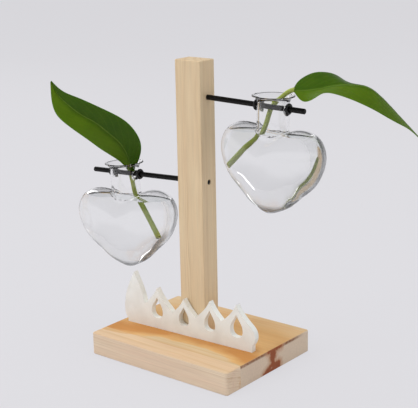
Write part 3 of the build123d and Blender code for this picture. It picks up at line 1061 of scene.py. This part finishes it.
@dataclass
class WaterFill:
    """The water in a bottle: it meets the glass all round and climbs a little at its edge."""

    bottle: HeartBottle
    level: float
    meniscus: float = 0.8 * MM
    climb: float = 0.9 * MM
    insets: tuple[float, ...] = (0.25 * MM, 0.55 * MM, 0.95 * MM, 1.5 * MM, 2.4 * MM)
    soak: float = 0.15 * MM
    weld: float = 0.05 * MM
    smoothing_rounds: int = 4
    neighbour_weight: float = 0.5

    def build(self, rod: Rod, water: Material) -> Object:
        """Makes the water from the hollow's own surface, cut off at its level.

        Args:
            rod: The rod that the bottle hangs on.
            water: Its material.

        Returns:
            The finished piece.
        """
        hollow = self.bottle.surface(self.bottle.wall - self.soak, self.bottle.tip_wall - self.soak)
        columns = self.bottle.columns
        points = np.vstack([*hollow[:-1], hollow[-1][:1]])
        faces = tube_faces(len(hollow) - 1, columns)
        last = (len(hollow) - 2) * columns
        for column in range(columns):
            faces.append((last + column, last + (column + 1) % columns, len(points) - 1))
        faces.append(tuple(range(columns)))
        obj = mesh_object(f"{self.bottle.side}_water", points, faces)
        obj.data.transform(rod.place(self.bottle.turn_deg, self.bottle.hang_drop))
        self.cut(obj.data)
        obj.data.materials.append(water)
        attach(obj, f"{self.bottle.side}_vessel")
        return obj

    def cut(self, mesh: bpy.types.Mesh) -> None:
        """Cuts the water off at its level and closes it with a top that climbs to the glass.

        Args:
            mesh: The filled hollow, in the row frame.
        """
        work = bmesh.new()
        work.from_mesh(mesh)
        brim = Vector((0, 0, self.level + self.meniscus))
        geometry = [*work.verts, *work.edges, *work.faces]
        bmesh.ops.bisect_plane(work, geom=geometry, plane_co=brim, plane_no=(0, 0, 1), clear_outer=True)
        bmesh.ops.remove_doubles(work, verts=[v for v in work.verts if v.is_boundary], dist=self.weld)
        rim = self.ordered([edge for edge in work.edges if edge.is_boundary])
        ways = self.inward(rim)
        outer = rim
        for inset in self.insets:
            drop = Vector((0, 0, self.meniscus * (1 - math.exp(-inset / self.climb))))
            inner = [work.verts.new(corner.co + way * inset - drop) for corner, way in zip(rim, ways)]
            for i, after in enumerate([*range(1, len(rim)), 0]):
                work.faces.new((outer[i], outer[after], inner[after], inner[i])).smooth = True
            outer = inner
        bmesh.ops.triangulate(work, faces=[work.faces.new(outer)])
        bmesh.ops.recalc_face_normals(work, faces=work.faces)
        work.to_mesh(mesh)
        work.free()

    def ordered(self, edges: list[bmesh.types.BMEdge]) -> list[bmesh.types.BMVert]:
        """Walks round the open edges.

        Args:
            edges: The edges of one open loop.

        Returns:
            The loop's corners, in order.
        """
        open_edges = set(edges)
        first = edges[0].verts[0]
        walk, here = [first], edges[0].verts[1]
        used = {edges[0]}
        while here is not first:
            walk.append(here)
            ahead = next(e for e in here.link_edges if e in open_edges and e not in used)
            used.add(ahead)
            here = ahead.other_vert(here)
        return walk

    def inward(self, rim: list[bmesh.types.BMVert]) -> list[Vector]:
        """Gives the level way in from each corner of the rim, evened out over its neighbours.

        Args:
            rim: The rim's corners, in order.

        Returns:
            One direction for each corner.
        """
        flat = np.array([tuple(v.co) for v in rim])[:, :2]
        area = float(np.sum(flat[:, 0] * np.roll(flat[:, 1], -1) - np.roll(flat[:, 0], -1) * flat[:, 1]))
        ahead = np.roll(flat, -2, axis=0) - np.roll(flat, 2, axis=0)
        way = np.stack([-ahead[:, 1], ahead[:, 0]], axis=1) * np.sign(area)
        for _ in range(self.smoothing_rounds):
            way /= np.linalg.norm(way, axis=1)[:, None]
            way = way + self.neighbour_weight * (np.roll(way, 1, axis=0) + np.roll(way, -1, axis=0))
        way /= np.linalg.norm(way, axis=1)[:, None]
        return [Vector((x, y, 0.0)) for x, y in way]


@dataclass
class RubberRing:
    """A rubber ring of round section that grips the rod."""

    node: str
    body: str
    inner_radius: float = 2.23 * MM
    section: float = 2.4 * MM
    sides: int = 48
    facets: int = 20

    def build(self, rod: Rod, rubber: Material) -> Object:
        """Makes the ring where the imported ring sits.

        Args:
            rod: The rod that it grips.
            rubber: Its material.

        Returns:
            The finished piece.
        """
        low, high = (Vector(corner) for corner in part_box(self.node))
        middle = (low + high) / 2
        points = []
        for turn in circle(self.sides):
            out = rod.upward * math.cos(turn) + rod.back * math.sin(turn)
            for angle in circle(self.facets):
                far = self.inner_radius + self.section / 2 * (1 + math.cos(angle))
                along = self.section / 2 * math.sin(angle)
                points.append(middle + out * far + rod.outward * along)
        obj = mesh_object(f"{self.node}_rubber", points, tube_faces(self.sides, self.facets, closed=True))
        obj.data.materials.append(rubber)
        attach(obj, self.body)
        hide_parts(self.node)
        return obj


@dataclass
class Cutting:
    """A leaf cutting: a fleshy stem that stands in the bottle and the blade on its end."""

    side: str
    stem_shares: tuple[tuple[float, float, float], ...]
    blade_shares: tuple[tuple[tuple[float, float, float], ...], ...]
    stem_span: float = 90.0 * MM
    stem_radius: float = 2.25 * MM
    stem_top_radius: float = 1.8 * MM
    stem_rows: int = 90
    stem_sides: int = 24
    wrapped_rows: int = 0
    ridges: int = 5
    ridge_share: float = 0.035
    swell_share: float = 0.02
    swell_rate: float = 21.0
    streak: float = 6 * MM
    streaks_across: float = 3.0
    blade_span: float = 110.0 * MM
    azimuth_deg: float = 39.0
    blade_rows: int = 110
    half_columns: int = 22
    crown: float = 0.035
    thickness: float = 0.45 * MM
    rib_thickness: float = 1.1 * MM
    edge_thickness: float = 0.15 * MM
    veins: float = 11.0
    vein_sweep: float = 0.34
    vein_depth: float = 0.22 * MM
    vein_share: float = 0.12
    rib_depth: float = 0.35 * MM
    groove_share: float = 0.05
    rib_share: float = 0.06
    edge_taper: float = 0.75
    edge_power: int = 8
    full_width: float = 12 * MM

    def stem_line(self, rod: Rod) -> np.ndarray:
        """Gives the stem's middle line, from its foot to where the blade wraps it.

        Args:
            rod: The rod that the bottle hangs on.

        Returns:
            The line's points.
        """
        points = np.array(rod.middle) + np.array(self.stem_shares) * self.stem_span
        knots = chord_knots(points)
        line = spline(knots, points, np.linspace(0, knots[-1], self.stem_rows))
        return line[: self.stem_rows - self.wrapped_rows]

    def build_stem(self, rod: Rod, skin: Material) -> Object:
        """Makes the stem as a round, slightly ridged tube with a cut foot.

        Args:
            rod: The rod that the bottle hangs on.
            skin: Its material.

        Returns:
            The finished piece.
        """
        line = self.stem_line(rod)
        ahead = np.gradient(line, axis=0)
        ahead /= np.linalg.norm(ahead, axis=1)[:, None]
        length = chord_knots(line)
        points, places = [], []
        for row, (centre, way) in enumerate(zip(line, ahead)):
            side = np.cross(way, (0.0, 1.0, 0.0))
            side /= np.linalg.norm(side)
            up = np.cross(side, way)
            share = row / (self.stem_rows - 1)
            radius = self.stem_radius + (self.stem_top_radius - self.stem_radius) * share
            swell = self.swell_share * math.sin(share * self.swell_rate)
            for turn in circle(self.stem_sides):
                wide = radius * (1 + self.ridge_share * math.sin(self.ridges * turn) + swell)
                points.append(centre + side * wide * math.cos(turn) + up * wide * math.sin(turn))
                across = [self.streaks_across * math.cos(turn), self.streaks_across * math.sin(turn)]
                places.append([*across, length[row] / self.streak])
        faces = tube_faces(len(line), self.stem_sides)
        last = (len(line) - 1) * self.stem_sides
        faces.append(tuple(range(self.stem_sides - 1, -1, -1)))
        faces.append(tuple(range(last, last + self.stem_sides)))
        obj = mesh_object(f"{self.side}_cutting_stem", points, faces)
        spots = obj.data.attributes.new("stem_place", "FLOAT_VECTOR", "POINT")
        spots.data.foreach_set("vector", np.array(places, np.float32).ravel())
        obj.data.materials.append(skin)
        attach(obj, f"{self.side}_vessel")
        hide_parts(f"{self.side}_stem")
        return obj

    def guides(self, rod: Rod) -> np.ndarray:
        """Gives the blade's far edge, midrib and near edge.

        Args:
            rod: The rod that the bottle hangs on.

        Returns:
            Rows by three by coordinates.
        """
        turn = math.radians(self.azimuth_deg)
        right = np.array([math.cos(turn), math.sin(turn), 0.0])
        front = np.array([math.sin(turn), -math.cos(turn), 0.0])
        seat = np.array(rod.middle) + np.array(self.stem_shares[-1]) * self.stem_span
        to_right, up, to_front = np.split(np.array(self.blade_shares), 3, axis=-1)
        points = seat + self.blade_span * (to_right * right + up * [0.0, 0.0, 1.0] + to_front * front)
        knots = chord_knots(points[:, 1])
        rows = np.linspace(0, knots[-1], self.blade_rows)
        return spline(knots, points.reshape(len(points), -1), rows).reshape(-1, 3, 3)

    def relief(self, share: float, along: float, width: float) -> float:
        """Gives how far the upper side lies above the flat blade: crowned, with grooves at veins and midrib.

        Args:
            share: How far out from the midrib the point lies.
            along: How far along the blade it lies.
            width: The half blade's width there.

        Returns:
            The lift, in metres.
        """
        wave = (along - self.vein_sweep * share) * self.veins
        vein = math.exp(-((wave - round(wave)) / self.vein_share) ** 2) * min(1.0, width / self.full_width)
        rib = math.exp(-(share / self.groove_share) ** 2)
        crown = self.crown * width * 4 * share * (1 - share)
        return crown - (self.vein_depth * (vein * (1 - share)) + self.rib_depth * rib)

    def blade_faces(self, count: int, columns: int) -> Faces:
        """Joins the upper and the under side of the blade round their edge.

        Args:
            count: How many points each side has.
            columns: How many of them lie in one row.

        Returns:
            The faces.
        """
        faces = []
        for row in range(self.blade_rows - 1):
            here, after = row * columns, (row + 1) * columns
            for column in range(columns - 1):
                a, b, c, d = here + column, here + column + 1, after + column + 1, after + column
                faces.append((a, b, c, d))
                faces.append((count + a, count + d, count + c, count + b))
            for a, d in ((here, after), (after + columns - 1, after - 1)):
                faces.append((a, d, count + d, count + a))
        for column in range(columns - 1):
            faces.append((column + 1, column, count + column, count + column + 1))
            end = (self.blade_rows - 1) * columns + column
            faces.append((end, end + 1, count + end + 1, count + end))
        return faces

    def build_blade(self, rod: Rod, leaf: Material) -> Object:
        """Makes the blade as a thin closed shell, crowned between its midrib, its veins and its margin.

        Args:
            rod: The rod that the bottle hangs on.
            leaf: Its material.

        Returns:
            The finished piece.
        """
        guides = self.guides(rod)
        ahead = np.gradient(guides[:, 1], axis=0)
        middle, turn = self.blade_rows // 2, math.radians(self.azimuth_deg)
        upper_side = np.array([math.sin(turn), -math.cos(turn), 1.0])
        facing = np.sign(np.cross(ahead[middle], guides[middle, 2] - guides[middle, 0]) @ upper_side)
        top, under, places = [], [], []
        for row, (far, rib, near) in enumerate(guides):
            along = row / (self.blade_rows - 1)
            normal = np.cross(ahead[row], near - far) * facing
            normal /= max(np.linalg.norm(normal), 1e-12)
            for v in np.linspace(-1, 1, 2 * self.half_columns + 1):
                out, share = (near if v > 0 else far) - rib, abs(v)
                width = np.linalg.norm(out)
                point = rib + out * share + normal * self.relief(share, along, width)
                swell = math.exp(-(share / self.rib_share) ** 2)
                thick = self.thickness + (self.rib_thickness - self.thickness) * swell
                thick = min(thick, max(width / 2, self.edge_thickness))
                thick *= 1 - self.edge_taper * share**self.edge_power
                top.append(point)
                under.append(point - normal * thick)
                places.append((along, v, 0.0))
        faces = self.blade_faces(len(top), 2 * self.half_columns + 1)
        obj = mesh_object(f"{self.side}_cutting_blade", top + under, faces)
        spots = obj.data.attributes.new("leaf_place", "FLOAT_VECTOR", "POINT")
        spots.data.foreach_set("vector", np.array(places + places, np.float32).ravel())
        sides = obj.data.attributes.new("leaf_under", "FLOAT", "POINT")
        sides.data.foreach_set("value", np.repeat([0.0, 1.0], len(top)).astype(np.float32))
        work = bmesh.new()
        work.from_mesh(obj.data)
        bmesh.ops.recalc_face_normals(work, faces=work.faces)
        work.to_mesh(obj.data)
        work.free()
        obj.data.materials.append(leaf)
        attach(obj, f"{self.side}_vessel")
        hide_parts(f"{self.side}_leaf")
        return obj


@dataclass
class Stand:
    """The wooden stand with its rods, its screw and its painted cut-out, as imported."""

    edge_radius: float = 0.4 * MM

    def materials(self) -> dict[str, Material]:
        """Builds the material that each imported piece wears.

        Returns:
            The materials, by the name of the piece.
        """
        lacquer = DarkFinish(
            "black_lacquered_steel", "#070605", "#151210", roughness=0.4, patch_mm=3.0, specular=0.2,
        ).material()
        return {
            "base_front_stave": GoldenStave(
                "spruce_stave", Grain.ALONG_X, (0.0, -70.0, -60.0), early="#e6d0b4", late="#d0b08c",
                tone="#e0c2a6", golden="#d3a56a", ring_mm=3.2, wobble_mm=1.2,
            ).material(),
            "base_rear_board": HeartwoodBoard(
                "spruce_board", Grain.ALONG_X, (0.0, 16.0, -30.0), ring_mm=4.2, wobble_mm=2.0,
            ).material(),
            # Painted shade, with the end grain's own darker tone, darkens the post's sawn ends, its top among
            # them.
            "post": PlanedSpruce(
                "spruce_post", Grain.ALONG_Z, (38.0, 30.0, 0.0), ring_mm=3.8, end_grain_and_painted_shade=0.82,
            ).material(),
            "post_screw": ZincSteel().material(),
            "ornament": ChalkPaint().material(),
            "upper_rod": lacquer,
            "lower_rod": lacquer,
        }

    def dress(self) -> None:
        """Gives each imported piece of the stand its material, and eases the cut-out's edges."""
        for node, material in self.materials().items():
            obj = FRAME["nodes"][node]
            obj.data.materials.clear()
            obj.data.materials.append(material)
            LOG.info("dressed %s with %s", node, material.name)
        ease = FRAME["nodes"]["ornament"].modifiers.new("eased_edges", "BEVEL")
        ease.width, ease.segments, ease.limit_method = self.edge_radius, 2, "ANGLE"


def background_rays(tree: NodeTree) -> Node:
    """Tells rays that show a background, to the eye or in gloss and glass, from rays that carry light.

    Args:
        tree: Node tree.

    Returns:
        1 for rays that show a background, and 0 for the others.
    """
    ray = add_node(tree, "LightPath")
    share = ray.outputs["Is Camera Ray"]
    for way in ("Is Glossy Ray", "Is Transmission Ray"):
        share = add_node(tree, "Math", [share, ray.outputs[way]], operation="MAXIMUM")
    return share


@dataclass(frozen=True)
class PaleFloor(Finish):
    """Matt pale floor, which shows its own colour as a background and keeps a part of the shadow."""

    name: str = "pale_floor"
    colour: str = "#dddce0"
    glow: float = 0.85

    def shaders(self, tree: NodeTree) -> dict[str, Node]:
        """Mixes the matt floor with its plain colour.

        Args:
            tree: Node tree.

        Returns:
            The shader of the surface.
        """
        colour = linear(self.colour)
        share = add_node(tree, "Math", [background_rays(tree), self.glow], operation="MULTIPLY")
        matt = add_node(tree, "BsdfDiffuse", {"Color": colour})
        plain = add_node(tree, "Emission", {"Color": colour, "Strength": 1.0})
        return {"Surface": add_node(tree, "MixShader", [share, matt, plain])}


@dataclass(frozen=True)
class Lamp:
    """One soft box that faces the object. Gloss and glass mirror it only where it shows."""

    name: str
    place: tuple[float, float, float]
    size: tuple[float, float]
    watts: float
    shows: bool

    def hang(self, aim: Vector) -> None:
        """Hangs the lamp.

        Args:
            aim: The place that it faces.
        """
        data = bpy.data.lights.new(self.name, "AREA")
        data.shape, data.energy = "RECTANGLE", self.watts
        data.size, data.size_y = self.size
        lamp = bpy.data.objects.new(self.name, data)
        lamp.location = self.place
        lamp.rotation_euler = (aim - Vector(self.place)).to_track_quat("-Z", "Y").to_euler()
        lamp.visible_camera = False
        lamp.visible_glossy = lamp.visible_transmission = self.shows
        bpy.context.scene.collection.objects.link(lamp)


@dataclass
class Studio:
    """A pale floor, soft light and the camera, where the photograph was taken from."""

    azimuth_deg: float = 39.04
    elevation_deg: float = 15.06
    roll_deg: float = -1.10
    distance: float = 0.959
    side_shift: float = -7.3 * MM
    height_shift: float = -130.1 * MM
    focal_px: float = 1090.0
    image_px: float = 418.0
    sensor_mm: float = 36.0
    clip: tuple[float, float] = (0.05, 60.0)
    floor_reach: float = 12.0
    room_colour: str = "#f4f5f8"
    room_light: float = 0.68
    backdrop_rise: float = 0.22
    overhead: tuple[tuple[float, str], ...] = ((0.4, "#77787a"), (1.0, "#3a3b3d"))
    aim_height: float = 0.13
    bounces: int = 32
    lamps: tuple[Lamp, ...] = (
        Lamp("key_soft_box", (-1.0, -1.5, 1.5), (1.2, 0.9), 12.0, False),
        Lamp("top_soft_box", (0.1, 0.1, 1.9), (1.3, 1.3), 16.0, False),
        Lamp("left_strip_soft_box", (-1.51, 0.58, 1.0), (0.3, 1.3), 3.0, True),
        Lamp("right_strip_soft_box", (-0.25, 1.6, 0.9), (0.05, 0.8), 0.3, True),
        Lamp("low_soft_box", (-0.29, 0.94, 0.165), (0.085, 0.018), 0.004, True),
    )

    def camera(self) -> None:
        """Places the camera."""
        angles = (self.azimuth_deg, self.elevation_deg, self.roll_deg)
        azimuth, elevation, roll = (math.radians(angle) for angle in angles)
        flat = math.cos(elevation)
        back = Vector((math.sin(azimuth) * flat, -math.cos(azimuth) * flat, math.sin(elevation)))
        level = Vector((math.cos(azimuth), math.sin(azimuth), 0))
        plumb = back.cross(level)
        right = level * math.cos(roll) + plumb * math.sin(roll)
        up = plumb * math.cos(roll) - level * math.sin(roll)
        data = bpy.data.cameras.new("camera")
        data.sensor_width = self.sensor_mm
        data.lens = self.focal_px / self.image_px * self.sensor_mm
        data.clip_start, data.clip_end = self.clip
        camera = bpy.data.objects.new("camera", data)
        bpy.context.scene.collection.objects.link(camera)
        eye = back * self.distance - right * self.side_shift - up * self.height_shift
        camera.matrix_world = Matrix.Translation(eye) @ Matrix((right, up, back)).transposed().to_4x4()
        bpy.context.scene.camera = camera

    def floor(self, finish: Finish) -> None:
        """Lays the floor.

        Args:
            finish: Its finish.
        """
        reach = self.floor_reach
        corners = [(-reach, -reach, 0), (reach, -reach, 0), (reach, reach, 0), (-reach, reach, 0)]
        floor = mesh_object("floor", corners, [(0, 1, 2, 3)], smooth=False)
        floor.data.materials.append(finish.material())

    def sky(self, backdrop: str) -> None:
        """Sets the room's soft light, and the backdrop that gloss and glass see, dark overhead.

        Args:
            backdrop: The backdrop's colour at the height of the object.
        """
        world = bpy.data.worlds.new("room")
        bpy.context.scene.world = world
        world.use_nodes = True
        tree = world.node_tree
        tree.nodes.clear()
        room = add_node(tree, "Background", {"Color": linear(self.room_colour), "Strength": self.room_light})
        way = add_node(tree, "SeparateXYZ", [add_node(tree, "TexCoord").outputs["Generated"]])
        rise = add_node(tree, "MapRange", [way.outputs[2], 0.0, 1.0])
        stops = [(0.0, backdrop), (self.backdrop_rise, backdrop), *self.overhead]
        shade = add_node(tree, "ValToRGB", [rise], stops=stops)
        eye = add_node(tree, "LightPath").outputs["Is Camera Ray"]
        held = add_node(tree, "Mix", {0: eye, 6: shade, 7: linear(backdrop)}, data_type="RGBA")
        shown = add_node(tree, "Background", {"Color": held, "Strength": 1.0})
        mixed = add_node(tree, "MixShader", [background_rays(tree), room, shown])
        add_node(tree, "OutputWorld", [mixed])

    def build(self) -> None:
        """Sets up the whole studio."""
        self.camera()
        pale = PaleFloor()
        self.floor(pale)
        self.sky(pale.colour)
        for lamp in self.lamps:
            lamp.hang(Vector((0.0, 0.0, self.aim_height)))
        scene = bpy.context.scene
        scene.view_settings.view_transform = "Standard"
        scene.cycles.max_bounces = scene.cycles.transmission_bounces = self.bounces


# A stem's points go from its foot to the blade: X, Y and Z from the rod's middle, as shares of stem_span.
# A blade's rows go from its foot to its tip: far edge, midrib and near edge, each to the right, up and
# to the front of the stem's end, as shares of blade_span.
CUTTINGS = (
    Cutting(
        "upper",
        (
            (-0.415, 0.000, -0.552), (-0.300, -0.012, -0.450), (-0.185, -0.028, -0.340),
            (-0.091, -0.034, -0.222), (-0.070, 0.012, -0.111), (-0.056, 0.057, -0.011),
            (0.042, 0.066, 0.080), (0.120, 0.080, 0.138), (0.160, 0.089, 0.153),
        ),
        (
            ((0.000, 0.016, -0.012), (-0.012, 0.000, 0.000), (-0.002, -0.016, 0.012)),
            ((0.042, 0.048, -0.109), (0.054, -0.003, 0.009), (0.052, -0.066, 0.109)),
            ((0.118, 0.083, -0.164), (0.123, 0.001, 0.018), (0.124, -0.038, 0.164)),
            ((0.214, 0.096, -0.182), (0.214, 0.016, 0.027), (0.203, 0.004, 0.191)),
            ((0.315, 0.073, -0.182), (0.305, 0.033, 0.027), (0.319, -0.022, 0.200)),
            ((0.408, 0.014, -0.173), (0.403, 0.033, 0.027), (0.425, -0.066, 0.191)),
            ((0.515, -0.024, -0.164), (0.503, 0.019, 0.018), (0.534, -0.123, 0.164)),
            ((0.615, -0.095, -0.145), (0.605, -0.049, 0.000), (0.639, -0.189, 0.118)),
            ((0.713, -0.193, -0.109), (0.711, -0.158, -0.018), (0.742, -0.252, 0.064)),
            ((0.795, -0.279, -0.073), (0.802, -0.257, -0.036), (0.818, -0.302, 0.000)),
            ((0.919, -0.380, -0.078), (0.920, -0.387, -0.073), (0.919, -0.394, -0.068)),
        ),
    ),
    Cutting(
        "lower",
        (
            (0.389, 0.030, -0.600), (0.322, 0.042, -0.506), (0.245, 0.052, -0.406),
            (0.160, 0.058, -0.311), (0.082, 0.060, -0.228), (0.050, 0.060, -0.122),
            (0.028, 0.058, -0.022), (0.026, 0.058, 0.022), (0.029, 0.058, 0.050),
        ),
        (
            ((0.028, -0.032, 0.000), (0.002, -0.038, 0.000), (-0.020, -0.038, 0.000)),
            ((0.086, 0.116, 0.027), (-0.028, 0.102, 0.009), (-0.096, 0.059, 0.027)),
            ((0.081, 0.243, 0.064), (-0.086, 0.210, 0.027), (-0.213, 0.153, 0.073)),
            ((0.009, 0.361, 0.082), (-0.170, 0.293, 0.045), (-0.311, 0.237, 0.100)),
            ((-0.099, 0.442, 0.082), (-0.265, 0.377, 0.055), (-0.409, 0.314, 0.109)),
            ((-0.245, 0.515, 0.073), (-0.378, 0.443, 0.045), (-0.503, 0.385, 0.091)),
            ((-0.395, 0.580, 0.045), (-0.480, 0.522, 0.027), (-0.574, 0.455, 0.055)),
            ((-0.515, 0.628, 0.009), (-0.560, 0.597, -0.009), (-0.609, 0.549, 0.009)),
            ((-0.611, 0.704, -0.050), (-0.616, 0.699, -0.055), (-0.620, 0.692, -0.050)),
        ),
        wrapped_rows=5,
    ),
)
BOTTLES = {"upper": HeartBottle("upper", turn_deg=0.0), "lower": HeartBottle("lower", turn_deg=15.5)}
WATER_LEVELS = {"upper": 204.0 * MM, "lower": 128.5 * MM}


def main() -> None:
    """Builds and dresses every piece."""
    logging.basicConfig(level=logging.INFO, format="%(name)s: %(message)s")
    FRAME.update(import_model())
    Stand().dress()
    glass = ClearMedium("blown_glass", 1.5, "#ffffff", "#c4cfcb", 2.5).material()
    water = ClearMedium("tap_water", 1.333, "#ffffff", "#e6f2f2", 1.0).material()
    rubber = DarkFinish("moulded_rubber", "#0b0b0b", "#1c1b1b", 0.5, 1.5).material()
    skin, leaf = GreenStem().material(), WaxyLeaf().material()
    for cutting in CUTTINGS:
        side = cutting.side
        rod = Rod(side)
        for piece in (
            BOTTLES[side].build(rod, glass), WaterFill(BOTTLES[side], WATER_LEVELS[side]).build(rod, water),
            RubberRing(f"{side}_inner_ring", f"{side}_inner_stop").build(rod, rubber),
            RubberRing(f"{side}_outer_ring", f"{side}_outer_stop").build(rod, rubber),
            cutting.build_stem(rod, skin), cutting.build_blade(rod, leaf),
        ):
            LOG.info("built %s with %d faces", piece.name, len(piece.data.polygons))
    Studio().build()


if __name__ == "__main__":
    main()
